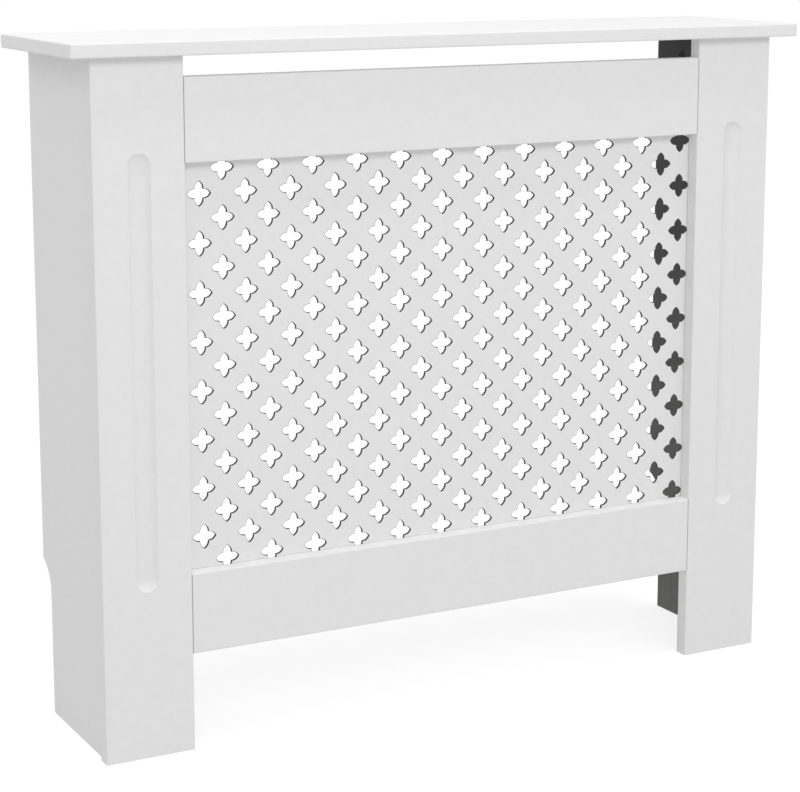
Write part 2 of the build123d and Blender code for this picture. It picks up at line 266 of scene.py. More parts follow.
class Nodes:
    """A tree of nodes under construction."""

    def __init__(self, tree: bpy.types.NodeTree) -> None:
        """Works on the one tree."""
        self.tree = tree

    def node(self, kind: str, *values: object, **settings: object) -> bpy.types.Node:
        """A new node.

        Args:
            kind: Its type.
            values: What its first inputs get, in their order.
            settings: Its attributes, by name.

        Returns:
            The node.
        """
        made = self.tree.nodes.new(kind)
        for name, value in settings.items():
            setattr(made, name, value)
        for socket, value in zip(made.inputs, values):
            self.feed(socket, value)
        return made

    def feed(self, socket: Socket, value: object) -> None:
        """Links an input to a socket, or sets it to a plain value.

        Args:
            socket: The input.
            value: A socket, a number, a place or a colour.
        """
        if isinstance(value, Socket):
            self.tree.links.new(value, socket)
        else:
            socket.default_value = (*value, 1.0) if socket.type == "RGBA" else value

    def math(self, operation: str, first: object, second: object = 0.0) -> Socket:
        """The result of one arithmetic step on sockets or numbers."""
        return self.node("ShaderNodeMath", first, second, operation=operation).outputs[0]

    def span(
        self, value: Socket, low: float, high: float, to_low: float = 0.0, to_high: float = 1.0
    ) -> Socket:
        """A value mapped smoothly from low..high to to_low..to_high, and held at the ends."""
        values = (value, low, high, to_low, to_high)
        return self.node("ShaderNodeMapRange", *values, interpolation_type="SMOOTHSTEP").outputs["Result"]

    def where_seen(self, unseen: float, seen: float) -> Socket:
        """A level that is one number as a light and another in the picture.

        Args:
            unseen: The level as a light.
            seen: The level for rays from the camera, or by way of a mirror or glass.

        Returns:
            The level.
        """
        path = self.node("ShaderNodeLightPath").outputs
        mirrored = self.math("MAXIMUM", path["Is Glossy Ray"], path["Is Transmission Ray"])
        return self.span(self.math("MAXIMUM", path["Is Camera Ray"], mirrored), 0.0, 1.0, unseen, seen)


class Shader(Nodes):
    """A material under construction, with its pattern space in metres on the object."""

    def __init__(self, name: str, specular: float = 0.5) -> None:
        """Starts a material that holds one Principled shader.

        Args:
            name: The material's name.
            specular: Strength of its mirror reflection.
        """
        self.material = bpy.data.materials.new(name)
        self.material.use_nodes = True
        super().__init__(self.material.node_tree)
        self.surface = self.tree.nodes["Principled BSDF"].inputs
        self.surface["Specular IOR Level"].default_value = specular
        self.space = self.node("ShaderNodeTexCoord").outputs["Object"]

    def stretched(self, scale: Place, centre: Place = (0.0, 0.0, 0.0)) -> Socket:
        """The object's space with its zero at the centre, scaled to so many features to the metre."""
        moved = tuple(-c * s for c, s in zip(centre, scale))
        return self.node("ShaderNodeMapping", self.space, moved, (0.0, 0.0, 0.0), scale).outputs["Vector"]

    def noise(self, scale: float, detail: float = 2.0, space: Socket | None = None) -> Socket:
        """Soft noise from 0 to 1 with finer layers, in the object's own space or the one given."""
        return self.node("ShaderNodeTexNoise", space or self.space, 0.0, scale, detail).outputs["Fac"]

    def weighted(self, *terms: tuple[Socket, float]) -> Socket:
        """The sum of values, each times its weight."""
        products = [self.math("MULTIPLY", value, weight) for value, weight in terms]
        return reduce(lambda total, product: self.math("ADD", product, total), products)

    def blend(self, share: object, first: object, second: object) -> Socket:
        """A mix of colours, by a node that has them as inputs 6 and 7 and output 2.

        Args:
            share: 0 for the first, 1 for the second.
            first, second: Colours or sockets.

        Returns:
            The blended colour.
        """
        made = self.node("ShaderNodeMix", share, data_type="RGBA")
        self.feed(made.inputs[6], first)
        self.feed(made.inputs[7], second)
        return made.outputs[2]

    def part(self, axis: Axis, vector: Socket | None = None) -> Socket:
        """One coordinate of a vector, or of the object's space."""
        return self.node("ShaderNodeSeparateXYZ", vector or self.space).outputs[axis.value]

    def from_middle(self) -> Socket:
        """Distance along X from the cabinet's middle."""
        return self.math("ABSOLUTE", self.part(Axis.X))

    def sprayed(self, colour: Colour, mottle: float) -> tuple[Socket, Socket]:
        """Sprayed paint: clouds a little darker and lighter than its colour.

        Args:
            colour: The mean colour.
            mottle: How far it strays either way, as a share.

        Returns:
            The soft clouds and the colour.
        """
        cloud = self.noise(CLOUDS, 3.0)
        tone = self.span(self.weighted((cloud, 0.6), (self.noise(FINE_CLOUDS), 0.4)), 0.35, 0.65)
        low, high = (tuple(c * (1.0 + change) for c in colour) for change in (-mottle, mottle))
        return cloud, self.blend(tone, low, high)

    def bump(self, height: Socket, depth: float, strength: object = 1.0) -> None:
        """Relief on the finished surface, over any relief made before.

        Args:
            height: The pattern, from 0 to 1.
            depth: Metres from lowest to highest.
            strength: How much of it shows, from 0 to 1.
        """
        made = self.node("ShaderNodeBump")
        made.inputs["Distance"].default_value = depth
        self.feed(made.inputs["Strength"], strength)
        self.feed(made.inputs["Height"], height)
        normal = self.surface["Normal"]
        if normal.is_linked:
            self.feed(made.inputs["Normal"], normal.links[0].from_socket)
        self.feed(normal, made.outputs["Normal"])

    def dress(self, colour: object, roughness: object, metallic: float = 0.0) -> Material:
        """Finishes the material.

        Args:
            colour, roughness: Sockets or plain values.
            metallic: 1 for bare metal.

        Returns:
            The material.
        """
        for name, value in (("Base Color", colour), ("Roughness", roughness), ("Metallic", metallic)):
            self.feed(self.surface[name], value)
        return self.material


def drawn_out(axis: Axis, along: float, across: float) -> Place:
    """Scales of a pattern that has one scale along an axis and another across it."""
    return tuple(along if each is axis else across for each in Axis)


@dataclass(frozen=True)
class Backing:
    """A bare face of a painted board: where it lies, and how it looks."""

    axis: Axis
    place: float
    beyond: int
    # Dark bare board whose colour runs from the bottom colour up to the top colour: painted light near
    # the floor, painted shade under the shelf.
    bottom_colour_with_painted_light: Colour = (0.150, 0.152, 0.145)
    top_colour_with_painted_shade: Colour = (0.040, 0.040, 0.042)
    roughness: float = 0.62
    overspray: float = 0.25 * MM
    half_width: float | None = None
    clouds: float = 22.0
    streaks: Place = (160.0, 160.0, 9.0)
    flecks: float = 1500.0
    weights: tuple[float, float, float] = (0.55, 0.3, 0.15)
    shades: tuple[float, float] = (0.78, 1.24)

    def share(self, shader: Shader) -> Socket:
        """0 on the paint and 1 on the bare face, which ends at the half width if there is one.

        Args:
            shader: Where it is built.

        Returns:
            The share.
        """
        height = shader.part(self.axis)
        start = self.place - self.beyond * self.overspray
        bare = shader.span(height, *sorted((start, self.place)), *((0.0, 1.0)[:: self.beyond]))
        if self.half_width:
            inside = shader.math("LESS_THAN", shader.from_middle(), self.half_width)
            bare = shader.math("MULTIPLY", bare, inside)
        return bare

    def paper(self, shader: Shader) -> Socket:
        """Its colour: clouds, faint upright streaks and fine flecks, and a painted shade gradient,
        lighter near the floor and darker towards the top.

        Args:
            shader: Where it is built.

        Returns:
            The colour.
        """
        cloud = shader.noise(self.clouds, 5.0)
        streak = shader.noise(1.0, 3.0, shader.stretched(self.streaks))
        patterns = (cloud, streak, shader.noise(self.flecks))
        shade = shader.span(shader.weighted(*zip(patterns, self.weights)), 0.3, 0.7, *self.shades)
        # Painted shade by height: lighter at the bottom, darker towards the top.
        height = shader.span(shader.part(Axis.Z), CAD_LOW.z, CAD_HIGH.z)
        painted_shade_by_height = shader.blend(height, self.bottom_colour_with_painted_light, self.top_colour_with_painted_shade)
        scaled = shader.node("ShaderNodeVectorMath", painted_shade_by_height, operation="SCALE")
        shader.feed(scaled.inputs["Scale"], shade)
        return scaled.outputs["Vector"]


@dataclass(frozen=True)
class PaintedSeamShade:
    """Painted shade in the open line where the ends of the rails butt against the posts, on both sides of
    the window.
    """

    place: float
    spans: tuple[tuple[float, float], ...]
    width: float = 1.2 * MM
    # Grey of the painted shade in the groove.
    colour: Colour = (0.50, 0.50, 0.50)

    def share(self, shader: Shader) -> Socket:
        """1 where the painted shade lies, in the bottom of the groove between a rail and a post, 0
        elsewhere.

        Args:
            shader: Where it is built.

        Returns:
            The share.
        """
        across = shader.math("ABSOLUTE", shader.math("SUBTRACT", shader.from_middle(), self.place))
        height = shader.part(Axis.Z)
        within = 0.0
        for low, high in self.spans:
            over = shader.math("GREATER_THAN", height, low)
            under = shader.math("LESS_THAN", height, high)
            within = shader.math("ADD", shader.math("MULTIPLY", over, under), within)
        groove = shader.span(across, 0.25 * self.width, 0.6 * self.width, 1.0, 0.0)
        return shader.math("MULTIPLY", within, groove)


@dataclass(frozen=True)
class Lacquer:
    """White satin lacquer sprayed on fibreboard: flat on the broad faces, drier on the cut edges."""

    name: str
    broad: Axis
    backing: Backing | None = None
    painted_seam_shade: PaintedSeamShade | None = None
    # Lighter colour of the faces other than the broad ones, a painted highlight; None leaves them plain.
    edge_highlight_colour: Colour | None = None
    colour: Colour = (0.80, 0.80, 0.80)
    mottle: float = 0.012
    roughness: float = 0.50
    edge_roughness: float = 0.60
    specular: float = 0.3
    peel_depth: float = 0.020 * MM
    fibre_depth: float = 0.030 * MM
    fibres: tuple[float, float] = (2600.0, 420.0)

    def material(self) -> Material:
        """Cloudy white, orange peel on the faces, raised fibres on the cut edges.

        Returns:
            The material.
        """
        shader = Shader(self.name, self.specular)
        cloud, paint = shader.sprayed(self.colour, self.mottle)
        normal = shader.node("ShaderNodeNewGeometry").outputs["True Normal"]
        facing = shader.math("ABSOLUTE", shader.part(self.broad, normal))
        edge = shader.span(facing, 0.25, 0.85, 1.0, 0.0)
        # Painted highlight: faces other than the broad ones, such as a rail's top, get a lighter colour.
        if self.edge_highlight_colour:
            paint = shader.blend(edge, paint, self.edge_highlight_colour)
        satin = shader.span(cloud, 0.3, 0.7, self.roughness - 0.03, self.roughness + 0.05)
        rough = shader.math("MAXIMUM", satin, shader.math("MULTIPLY", edge, self.edge_roughness))
        # Painted shade in the groove at the joint between rail and post.
        if self.painted_seam_shade:
            paint = shader.blend(self.painted_seam_shade.share(shader), paint, self.painted_seam_shade.colour)
        if self.backing:
            # The bare face's colour carries painted shade that darkens it towards the top.
            bare = self.backing.share(shader)
            paint = shader.blend(bare, paint, self.backing.paper(shader))
            rough = shader.math("MAXIMUM", rough, shader.math("MULTIPLY", bare, self.backing.roughness))
        shader.bump(shader.noise(ORANGE_PEEL, 1.5), self.peel_depth)
        fibre = shader.noise(1.0, 4.0, shader.stretched(drawn_out(self.broad, *self.fibres)))
        shader.bump(fibre, self.fibre_depth, edge)
        return shader.dress(paint, rough)


@dataclass(frozen=True)
class CutSheet:
    """The lattice sheet: lacquered front, bare dark hole walls and back."""

    name: str
    front: float
    colour: Colour = (0.80, 0.80, 0.80)
    wall_colour: Colour = (0.075, 0.075, 0.072)
    wall_shades: tuple[float, float] = (0.7, 1.5)
    mottle: float = 0.012
    paint_wrap: float = 0.02 * MM
    roughness: float = 0.50
    wall_roughness: float = 0.80
    specular: float = 0.3
    peel_depth: float = 0.018 * MM
    layers: Place = (700.0, 2600.0, 700.0)
    layer_depth: float = 0.05 * MM

    def material(self) -> Material:
        """Paint or bare board, by how far behind the painted face a point lies.

        Returns:
            The material.
        """
        shader = Shader(self.name, self.specular)
        depth = shader.math("SUBTRACT", shader.part(Axis.Y), self.front)
        ragged = shader.math("MULTIPLY", shader.noise(1400.0, 3.0), self.paint_wrap)
        bare = shader.span(shader.math("SUBTRACT", depth, ragged), 0.0, self.paint_wrap)
        _, paint = shader.sprayed(self.colour, self.mottle)
        layers = shader.noise(1.0, 4.0, shader.stretched(self.layers))
        dark, pale = (tuple(c * shade for c in self.wall_colour) for shade in self.wall_shades)
        wall = shader.blend(shader.span(layers, 0.3, 0.7), dark, pale)
        shader.bump(shader.noise(ORANGE_PEEL, 1.5), self.peel_depth)
        shader.bump(layers, self.layer_depth, bare)
        drier = shader.math("MULTIPLY", bare, self.wall_roughness - self.roughness)
        return shader.dress(shader.blend(bare, paint, wall), shader.math("ADD", drier, self.roughness))


@dataclass(frozen=True)
class Beech:
    """Bare turned beech with its grain along one axis."""

    name: str
    grain: Axis
    pale: Colour = (0.70, 0.50, 0.32)
    dark: Colour = (0.50, 0.32, 0.18)
    bands: tuple[float, float] = (12.0, 300.0)
    flecks: tuple[float, float] = (260.0, 2600.0)
    fleck_depth: float = 0.05 * MM

    def material(self) -> Material:
        """Growth bands across the grain and short dark flecks along it.

        Returns:
            The material.
        """
        shader = Shader(self.name)
        band = shader.noise(1.0, 3.0, shader.stretched(drawn_out(self.grain, *self.bands)))
        fleck = shader.noise(1.0, 2.0, shader.stretched(drawn_out(self.grain, *self.flecks)))
        wood = shader.blend(shader.span(band, 0.35, 0.65), self.pale, self.dark)
        fleck_colour = tuple(0.6 * c for c in self.dark)
        wood = shader.blend(shader.span(fleck, 0.62, 0.72, 0.0, 0.7), wood, fleck_colour)
        shader.bump(fleck, self.fleck_depth)
        return shader.dress(wood, shader.span(band, 0.3, 0.7, 0.55, 0.72))


@dataclass(frozen=True)
class BlackCasting:
    """A zinc casting blackened all over, rubbed brighter on its rim."""

    name: str
    centre: Place
    rim: float = 6.6 * MM
    rim_blur: float = 0.5 * MM
    colour: Colour = (0.004, 0.004, 0.0045)
    rubbed: Colour = (0.035, 0.035, 0.037)
    specular: float = 0.15
    scuffs: float = 1800.0
    grain: float = 2600.0
    grain_depth: float = 0.04 * MM

    def material(self) -> Material:
        """Black, worn where it lies far from its own axis, which runs along X.

        Returns:
            The material.
        """
        shader = Shader(self.name, self.specular)
        around = shader.stretched((0.0, 1.0, 1.0), self.centre)
        length = shader.node("ShaderNodeVectorMath", around, operation="LENGTH")
        worn = shader.span(length.outputs["Value"], self.rim - self.rim_blur, self.rim + self.rim_blur)
        scuff = shader.noise(self.scuffs, 4.0)
        share = shader.math("MULTIPLY", worn, shader.span(scuff, 0.42, 0.62))
        shader.bump(shader.noise(self.grain), self.grain_depth)
        rough = shader.span(scuff, 0.3, 0.7, 0.34, 0.52)
        return shader.dress(shader.blend(share, self.colour, self.rubbed), rough)


@dataclass(frozen=True)
class PlatedSteel:
    """Bright zinc-plated steel; a sheet shows the crystals of its plating."""

    name: str
    spangle: bool = False
    pale: Colour = (0.68, 0.68, 0.66)
    dark: Colour = (0.48, 0.48, 0.47)
    clouds: float = 420.0
    crystals: float = 230.0
    scratches: Place = (3000.0, 3000.0, 220.0)
    scratch_depth: float = 0.01 * MM

    def material(self) -> Material:
        """Cloudy plating with fine scratches, or crystal flakes on sheet.

        Returns:
            The material.
        """
        shader = Shader(self.name)
        cloud = shader.noise(self.clouds, 3.0)
        if self.spangle:
            cells = shader.node("ShaderNodeTexVoronoi", shader.space, 0.0, self.crystals)
            cloud = shader.part(Axis.X, cells.outputs["Color"])
        scratch = shader.noise(1.0, 2.0, shader.stretched(self.scratches))
        shader.bump(scratch, self.scratch_depth)
        metal = shader.blend(shader.span(cloud, 0.1, 0.9), self.dark, self.pale)
        return shader.dress(metal, shader.span(cloud, 0.1, 0.9, 0.24, 0.44), metallic=1.0)


def show(piece: bpy.types.Object, material: Material, slot: Slot) -> None:
    """Gives a piece its one material.

    Args:
        piece: The piece.
        material: Its material.
        slot: The record's name for it.
    """
    piece.data.materials.clear()
    piece.data.materials.append(material)
    LOG.info("%s: %s, %d faces", piece.name, slot.value, len(piece.data.polygons))


# ---- sub-assemblies ----


@dataclass
class Carcass:
    """The painted boards: shelf, posts, rails and side panels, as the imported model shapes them."""

    side_names: tuple[str, str] = ("left", "right")
    rail_names: tuple[str, str] = ("top_rail", "bottom_rail")
    front_overspray: float = 0.8 * MM
    # The lighter colour on the rails' top, bottom and end faces is a painted highlight.
    rail_edge_highlight_colour: Colour = (0.88, 0.88, 0.88)

    def build(self) -> None:
        """Dresses each board: the shelf is painted all over, the others keep a bare face inside."""
        board = Lacquer("lacquer_shelf", Axis.Z)
        show(frame["nodes"]["top_board"], board.material(), Slot.LACQUER)
        rails = [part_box(node) for node in self.rail_names]
        end, back = rails[0][1].x, rails[0][1].y
        painted_seam_shade = PaintedSeamShade(end, tuple((low.z, high.z) for low, high in rails))
        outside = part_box("right_side_panel")[1].x
        backing = Backing(Axis.Y, back, 1, overspray=self.front_overspray, half_width=outside)
        rail = Lacquer("lacquer_rails", Axis.Y, backing, painted_seam_shade, self.rail_edge_highlight_colour).material()
        post = Lacquer("lacquer_posts", Axis.Y, backing, painted_seam_shade).material()
        for node in self.rail_names:
            show(frame["nodes"][node], rail, Slot.LACQUER)
        for side in self.side_names:
            show(frame["nodes"][f"{side}_post"], post, Slot.LACQUER)
            self.dress_side(side)

    def dress_side(self, side: str) -> None:
        """One side panel: painted outside and on its edges, bare on the face that looks inwards.

        Args:
            side: "left" or "right".
        """
        node = f"{side}_side_panel"
        low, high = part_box(node)
        inner, beyond = (high.x, 1) if side == "left" else (low.x, -1)
        finish = Lacquer(f"lacquer_{side}_side", Axis.X, Backing(Axis.X, inner, beyond))
        show(frame["nodes"][node], finish.material(), Slot.SIDE)


@dataclass
class LatticeSheet:
    """The pierced sheet behind the window: a chequer of four-petal holes with eased edges."""

    node: str = "lattice_panel"
    hole_step: float = 28.3 * MM
    pattern_offset: float = 4.8 * MM
    least_border: float = 15.0 * MM
    reach: float = 14.0 * MM
    root: float = 5.1 * MM
    bulge: float = 4.75 * MM
    bulge_at: float = 8.6 * MM
    tip_radius: float = 0.8 * MM
    tip_angle: float = math.radians(50.0)
    ease: float = 0.75 * MM
    side_points: int = 5
    row_key: int = 10000
    weld: float = 1e-7

    def tip_point(self, turn: float) -> Points:
        """The point so far round the arc at a petal's tip: reach - r (1 - cos turn), r sin turn."""
        radius = self.tip_radius
        return np.array([self.reach - radius * (1.0 - math.cos(turn)), radius * math.sin(turn)])

    def hole_outline(self) -> Points:
        """One hole as a closed ring: four turns of half a tip arc, a side arc and their mirror image.

        Returns:
            Points of shape (count, 2) about the hole's middle.
        """
        tip = [self.tip_point(turn) for turn in (0.0, self.tip_angle / 2)]
        bulge, root = np.array([self.bulge_at, self.bulge]), np.full(2, self.root)
        side = arc_through(self.tip_point(self.tip_angle), bulge, root, self.side_points)
        first = np.concatenate([tip, side])
        quarter = np.concatenate([first, first[-2:0:-1, ::-1]])
        turns = [np.linalg.matrix_power(np.array([[0, 1], [-1, 0]]), k) for k in range(4)]
        return np.concatenate([quarter @ turn for turn in turns])

    def hole_places(self, width: float, height: float) -> Points:
        """Middles of the holes: every second crossing of the grid, set off sideways.

        Args:
            width, height: Size of the sheet.

        Returns:
            Points of shape (holes, 2) about the sheet's middle.
        """
        edge = 2.0 * (self.reach + self.least_border)
        room = (width - edge - 2.0 * self.pattern_offset, height - edge)
        columns, rows = (1 + int(size / self.hole_step + TINY) for size in room)
        row, column = np.mgrid[0:rows, 0:columns]
        taken = (row + column) % 2 == 1
        across = (column[taken] - (columns - 1) / 2) * self.hole_step + self.pattern_offset
        up = ((rows - 1) / 2 - row[taken]) * self.hole_step
        return np.stack([across, up], axis=1)

    def cell(self, front: float, back: float) -> Surface:
        """One hole with the diamond of sheet round it: rings in to the hole, through it and out again.

        At angle a, a ring of the eased edge is the outline moved out by ease (1 - sin a) and back by
        ease (1 - cos a).

        Args:
            front, back: Where the sheet's two faces lie along Y.

        Returns:
            The surface, about the hole's middle.
        """
        outline = self.hole_outline()
        tangent = np.roll(outline, -1, axis=0) - np.roll(outline, 1, axis=0)
        normal = np.stack([tangent[:, 1], -tangent[:, 0]], axis=1)
        normal /= np.linalg.norm(normal, axis=1, keepdims=True)
        quarter, part = np.divmod(np.arange(len(outline)) / len(outline) * 4.0, 1.0)
        corner = np.stack([np.cos(quarter * math.pi / 2), np.sin(quarter * math.pi / 2)], axis=1)
        following = np.stack([-corner[:, 1], corner[:, 0]], axis=1)
        diamond = self.hole_step * (corner * (1.0 - part[:, None]) + following * part[:, None])
        rings = [(diamond, front)]
        for angle in np.radians([0.0, 45.0, 90.0]):
            moved = outline + normal * self.ease * (1 - math.sin(angle))
            rings.append((moved, front + self.ease * (1 - math.cos(angle))))
        rings += [(outline, back), (diamond, back)]
        grid = np.stack([np.insert(ring, 1, depth, axis=1) for ring, depth in rings])
        return Surface.from_grid(grid, wrap=True)

    def border(self, places: Points, size: Points, front: float, back: float) -> Surface:
        """The plain sheet between the outermost diamonds and the rim, and the rim's four walls.

        Edges that only one diamond has bound the pattern. They and the rim bound a flat triangulation.

        Args:
            places: Middles of the holes, shape (holes, 2).
            size: Width and height of the sheet.
            front, back: Where its two faces lie along Y.

        Returns:
            The border.
        """
        per_side = len(self.hole_outline()) // 4
        half_step, offset = self.hole_step / 2, np.array([self.pattern_offset, 0.0])
        steps = np.array([(2, 0), (0, 2), (-2, 0), (0, -2)])
        corners = np.rint((places - offset)[:, None, :] / half_step + steps).astype(int)
        ends = np.stack([corners, np.roll(corners, -1, axis=1)], axis=2).reshape(-1, 2, 2)
        keys = np.sort(ends[:, :, 0] * self.row_key + ends[:, :, 1], axis=1)
        _, first, uses = np.unique(keys, axis=0, return_index=True, return_counts=True)
        loose = ends[first[uses == 1]] * half_step + offset
        share = np.linspace(0.0, 1.0, per_side + 1)[None, :, None]
        zigzag = loose[:, :1] * (1.0 - share) + loose[:, 1:] * share
        points, numbers = np.unique(np.round(zigzag.reshape(-1, 2), 8), axis=0, return_inverse=True)
        numbers = numbers.reshape(len(loose), -1)
        edges = np.stack([numbers[:, :-1], numbers[:, 1:]], axis=2).reshape(-1, 2)
        rim = size / 2 * np.array([(1, 1), (-1, 1), (-1, -1), (1, -1)])
        start = len(points)
        rim_edges = np.array([(start + k, start + (k + 1) % 4) for k in range(4)])
        every = np.concatenate([points, rim])
        bounds = np.concatenate([edges, rim_edges]).tolist()
        found = geometry.delaunay_2d_cdt([Vector(point) for point in every], bounds, [], 1, self.weld)
        flat, faces = np.array([point[:] for point in found[0]]), np.array(found[2])
        middles = flat[faces].mean(axis=1)
        nearest = np.abs(middles[:, None, :] - places[None]).sum(axis=2).min(axis=1)
        faces = faces[nearest > self.hole_step]
        no_quads = np.zeros((0, 4), int)
        sheets = [Surface(np.insert(flat, 1, depth, axis=1), no_quads, faces) for depth in (front, back)]
        ring = np.stack([np.insert(rim, 1, depth, axis=1) for depth in (front, back)])
        return Surface.joined([*sheets, Surface.from_grid(ring, wrap=True)])

    def build(self) -> None:
        """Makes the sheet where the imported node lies, and stands it in for that node."""
        low, high = (np.array(corner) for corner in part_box(self.node))
        middle = (low + high) / 2
        places = self.hole_places(high[0] - low[0], high[2] - low[2])
        cell = self.cell(low[1], high[1])
        shift = np.insert(places, 1, 0.0, axis=1)
        cells = [Surface(cell.points + move, cell.quads) for move in shift]
        sheet = Surface.joined([*cells, self.border(places, (high - low)[[0, 2]], low[1], high[1])])
        sheet.points = sheet.points + np.array([middle[0], 0.0, middle[2]])
        piece = sheet.to_object("lattice_sheet")
        show(piece, CutSheet("lattice_finish", low[1]).material(), Slot.LATTICE)
        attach(piece, CABINET)
        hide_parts(self.node)


@dataclass(frozen=True)
class Thread:
    """A screw thread: a ridge that climbs one pitch a turn."""

    core: float
    crest: float
    pitch: float
    rows_per_pitch: int = 6
    ridge_top: float = 1.25
    ridge_fall: float = 2.9

    def radius(self, along: Points, columns: int) -> Points:
        """Core radius plus a ridge where height over pitch meets the angle.

        Args:
            along: Heights of the stations.
            columns: Points round the screw.

        Returns:
            Radii of shape (stations, columns).
        """
        turn = np.arange(columns) / columns
        phase = (along[:, None] / self.pitch - turn) % 1.0
        ridge = np.clip(self.ridge_top - self.ridge_fall * np.abs(phase - 0.5), 0.0, 1.0)
        return self.core + (self.crest - self.core) * ridge

    def stations(self, start: float, end: float) -> Points:
        """Heights from start to end, close enough together for the ridge."""
        rows = max(2, int(abs(end - start) / self.pitch * self.rows_per_pitch))
        return np.linspace(start, end, rows)


@dataclass(frozen=True)
class PanHeadScrew:
    """A small pan-head screw with a cross recess and a thread that runs out in a point."""

    head_radius: float = 3.0 * MM
    head_height: float = 2.0 * MM
    arm: float = 1.55 * MM
    half_width: float = 0.36 * MM
    recess: float = 1.15 * MM
    flare: float = 0.18 * MM
    mid_arm: float = 1.05 * MM
    crown_fall: float = 0.16
    edge_fall: float = 0.5
    edge_power: int = 9
    ruled_rows: int = 7
    ruled_power: float = 0.7
    slot: Slot = Slot.SCREW
    thread: Thread = Thread(1.0 * MM, 1.48 * MM, 1.1 * MM)
    point: float = 2.6 * MM
    columns: int = 24

    def dome(self, distance: Points) -> Points:
        """Height of the head over its seat: a shallow crown, steep at its edge.

        Args:
            distance: Distances from the axis.

        Returns:
            Heights, of the same shape.
        """
        share = np.clip(distance / self.head_radius, 0.0, 1.0)
        crown = 1.0 - self.crown_fall * share**2
        return self.head_height * crown * (1.0 - self.edge_fall * share**self.edge_power)

    def crown(self) -> Surface:
        """Top of the head: a square grid over the recess, ruled out to the rim.

        The square's lines lie close together at each wall of the cross, so each point is on the dome or
        on the recess floor. A skirt closes the head down to its seat and in to the shank.

        Returns:
            The head.
        """
        half = self.arm + self.flare
        wall = self.half_width + self.flare
        lines = np.array([0.0, self.half_width, wall, self.mid_arm, self.arm, half])
        lines = np.concatenate([-lines[:0:-1], lines])
        across, up = np.meshgrid(lines, lines)
        narrow = np.minimum(np.abs(across), np.abs(up)) <= self.half_width + TINY
        near = np.maximum(np.abs(across), np.abs(up)) <= self.arm + TINY
        height = self.dome(np.hypot(across, up)) - self.recess * (narrow & near)
        square = np.stack([across, up, height], axis=-1)
        loop = np.concatenate([square[0, :-1], square[:-1, -1], square[-1, :0:-1], square[:0:-1, 0]])
        angle = np.arctan2(loop[:, 1], loop[:, 0])
        rim = self.head_radius * np.stack([np.cos(angle), np.sin(angle)], axis=1)
        share = np.linspace(0.0, 1.0, self.ruled_rows)[:, None, None] ** self.ruled_power
        flat = loop[None, :, :2] * (1.0 - share) + rim[None] * share
        height = self.dome(np.hypot(flat[..., 0], flat[..., 1]))
        ruled = np.concatenate([flat, height[..., None]], axis=-1)
        seat = np.concatenate([ruled[-1:], ruled[-1:] * np.array([1.0, 1.0, 0.0])])
        under = seat[1:] * np.array([[[self.thread.core / self.head_radius] * 2 + [0.0]]])
        rounds = [Surface.from_grid(grid, wrap=True) for grid in (ruled, np.concatenate([seat, under]))]
        return Surface.joined([Surface.from_grid(square), *rounds])

    def surface(self, length: float) -> Surface:
        """The whole screw along Z: seat at 0, head above it, shank down to minus its length.

        Args:
            length: From the seat to the point.

        Returns:
            The screw.
        """
        along = self.thread.stations(0.0, -length)
        spread = self.thread.radius(along, self.columns)
        taper = np.clip((length + along) / self.point, 0.0, 1.0)[:, None]
        spread = spread * taper
        spread[0] = self.thread.core
        shank = Surface.from_grid(lathe(along, spread, self.columns), wrap=True)
        return Surface.joined([self.crown(), shank])

    def laid(self, head: float, tip: float, way: float) -> tuple[float, Surface]:
        """Where on its axis its seat lies between the ends of head and tip, and the screw."""
        seat = head - way * self.head_height
        return seat, self.surface(abs(seat - tip))


@dataclass(frozen=True)
class CamBolt:
    """The bolt of a cam lock: coarse thread, collar, shank, neck and round head."""

    thread: Thread = Thread(1.9 * MM, 2.48 * MM, 1.7 * MM)
    thread_length: float = 10.5 * MM
    collar: float = 3.7 * MM
    collar_length: float = 2.0 * MM
    shank: float = 3.0 * MM
    neck: float = 2.0 * MM
    neck_start: float = 26.45 * MM
    head: float = 3.2 * MM
    head_start: float = 28.4 * MM
    head_end: float = 31.0 * MM
    ease: float = 0.3 * MM
    lead_in: float = 2.0 * MM
    blunt_end: float = 0.55
    columns: int = 28
    slot: Slot = Slot.BOLT

    def surface(self) -> Surface:
        """The bolt along Z, joint face at 0: one profile of heights and radii turned round the axis.

        Returns:
            The bolt.
        """
        low = self.thread.stations(-self.thread_length, -self.ease)
        taper = np.clip((low + self.thread_length) / self.lead_in + self.blunt_end, 0.0, 1.0)[:, None]
        cut = self.thread.radius(low, self.columns) * taper
        e = self.ease
        profile = np.array([
            (0.0, self.collar - e), (e, self.collar), (self.collar_length - e, self.collar),
            (self.collar_length, self.collar - e), (self.collar_length, self.shank),
            (self.neck_start - 2 * e, self.shank), (self.neck_start, self.neck),
            (self.head_start, self.neck), (self.head_start, self.head - e),
            (self.head_start + e, self.head),
            (self.head_end - 2 * e, self.head), (self.head_end, self.head - 3 * e), (self.head_end, 0.0),
        ])
        along = np.concatenate([low[:1], low, profile[:, 0]])
        turned = np.repeat(profile[:, 1:], self.columns, axis=1)
        spread = np.concatenate([np.zeros((1, self.columns)), cut, turned])
        return Surface.from_grid(lathe(along, spread, self.columns), wrap=True)

    def laid(self, head: float, tip: float, way: float) -> tuple[float, Surface]:
        """Where on its axis its joint face lies between the ends of head and tip, and the bolt."""
        return tip + way * self.thread_length, self.surface()


